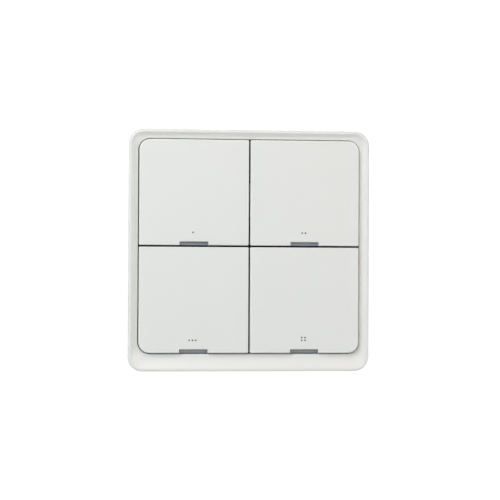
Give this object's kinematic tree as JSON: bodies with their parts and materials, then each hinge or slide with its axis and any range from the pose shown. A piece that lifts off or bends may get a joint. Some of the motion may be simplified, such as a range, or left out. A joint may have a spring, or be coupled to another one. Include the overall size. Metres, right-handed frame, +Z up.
{
  "type": "light switch",
  "caption": "Square wall light switch with hinged push keys, indicator bars, a dished frame and a relay base for a wall box.",
  "frame": {"origin": "centre of the front plate on the wall's surface, midway between the two wall screws", "axes": "+Y points into the wall box, +Z is up, +X is to the right for a person facing the keys"},
  "size_m": [0.086, 0.0353, 0.086],
  "materials": {
    "plate_white": "fine matt moulded polycarbonate",
    "key_white": "fine matt moulded polycarbonate",
    "guide_smoke": "smoke-tinted diffusing polycarbonate",
    "carrier_black": "black moulded ABS",
    "cover_grey": "grey flame-retardant ABS",
    "board_green": "solder-masked glass-epoxy board",
    "board_blue": "solder-masked glass-epoxy board",
    "bright_steel": "nickel-plated",
    "zinc_steel": "zinc-plated pressed sheet",
    "contact_brass": "bright",
    "lamp_white": "clear-filled lamp body",
    "chip_black": "moulded epoxy",
    "plunger_black": "acetal",
    "relay_case": "sealed relay case",
    "ferrite": "ground ferrite",
    "winding_tape": "polyester winding tape",
    "capacitor_sleeve": "shrunk sleeve",
    "varistor_coat": "epoxy-coated disc",
    "fuse_coat": "cement-coated",
    "housing_white": "flame-retardant moulded polycarbonate",
    "terminal_green": "moulded polyamide",
    "label_paper": "bare silver-white film"
  },
  "bodies": {
    "base": {"base_cover": "cover_grey", "bezel_frame": "plate_white", "board_header": "chip_black", "board_screws": "bright_steel", "board_socket": "chip_black", "button_board": "board_green", "controller_chip": "chip_black", "filter_capacitors": "capacitor_sleeve", "fuse_resistor": "fuse_coat", "header_pins": "contact_brass", "housing_screws": "bright_steel", "indicator_leds": "lamp_white", "key_carrier": "carrier_black", "light_guide_1": "guide_smoke", "light_guide_2": "guide_smoke", "light_guide_3": "guide_smoke", "light_guide_4": "guide_smoke", "mounting_yoke": "zinc_steel", "power_board": "board_green", "radio_module": "board_blue", "radio_shield": "bright_steel", "rear_housing": "housing_white", "rear_label": "label_paper", "relay_1": "relay_case", "relay_2": "relay_case", "relay_3": "relay_case", "relay_4": "relay_case", "switch_covers": "bright_steel", "switch_domes": "bright_steel", "tact_switch_1": "chip_black", "tact_switch_2": "chip_black", "tact_switch_3": "chip_black", "tact_switch_4": "chip_black", "terminal_block": "terminal_green", "terminal_contacts": "contact_brass", "terminal_pressure_plates": "zinc_steel", "terminal_screws": "bright_steel", "transformer_core": "ferrite", "transformer_winding": "winding_tape", "varistor": "varistor_coat"},
    "key_1_body": {"key_1": "key_white"},
    "plunger_1_body": {"switch_plunger_1": "plunger_black"},
    "key_2_body": {"key_2": "key_white"},
    "plunger_2_body": {"switch_plunger_2": "plunger_black"},
    "key_3_body": {"key_3": "key_white"},
    "plunger_3_body": {"switch_plunger_3": "plunger_black"},
    "key_4_body": {"key_4": "key_white"},
    "plunger_4_body": {"switch_plunger_4": "plunger_black"}
  },
  "joints": [
    {"name": "key_1_press", "type": "hinge", "parent": "base", "child": "key_1_body", "pos_m": [-0.01975, -0.0068, 0.0358], "axis": [1, 0, 0], "range_deg": [0, 1.3], "stiffness_Nm_per_rad": 2},
    {"name": "plunger_1_travel", "type": "slide", "parent": "base", "child": "plunger_1_body", "axis": [0, 1, 0], "range_m": [0, 0.0004]},
    {"name": "key_2_press", "type": "hinge", "parent": "base", "child": "key_2_body", "pos_m": [0.01975, -0.0068, 0.0358], "axis": [1, 0, 0], "range_deg": [0, 1.3], "stiffness_Nm_per_rad": 2},
    {"name": "plunger_2_travel", "type": "slide", "parent": "base", "child": "plunger_2_body", "axis": [0, 1, 0], "range_m": [0, 0.0004]},
    {"name": "key_3_press", "type": "hinge", "parent": "base", "child": "key_3_body", "pos_m": [-0.01975, -0.0068, -0.00242], "axis": [1, 0, 0], "range_deg": [0, 1.3], "stiffness_Nm_per_rad": 2},
    {"name": "plunger_3_travel", "type": "slide", "parent": "base", "child": "plunger_3_body", "axis": [0, 1, 0], "range_m": [0, 0.0004]},
    {"name": "key_4_press", "type": "hinge", "parent": "base", "child": "key_4_body", "pos_m": [0.01975, -0.0068, -0.00242], "axis": [1, 0, 0], "range_deg": [0, 1.3], "stiffness_Nm_per_rad": 2},
    {"name": "plunger_4_travel", "type": "slide", "parent": "base", "child": "plunger_4_body", "axis": [0, 1, 0], "range_m": [0, 0.0004]}
  ],
  "couplings": [
    {"joint": "plunger_1_travel", "follows": "key_1_press", "m_per_rad": 0.0154},
    {"joint": "plunger_2_travel", "follows": "key_2_press", "m_per_rad": 0.0154},
    {"joint": "plunger_3_travel", "follows": "key_3_press", "m_per_rad": 0.0154},
    {"joint": "plunger_4_travel", "follows": "key_4_press", "m_per_rad": 0.0154}
  ]
}
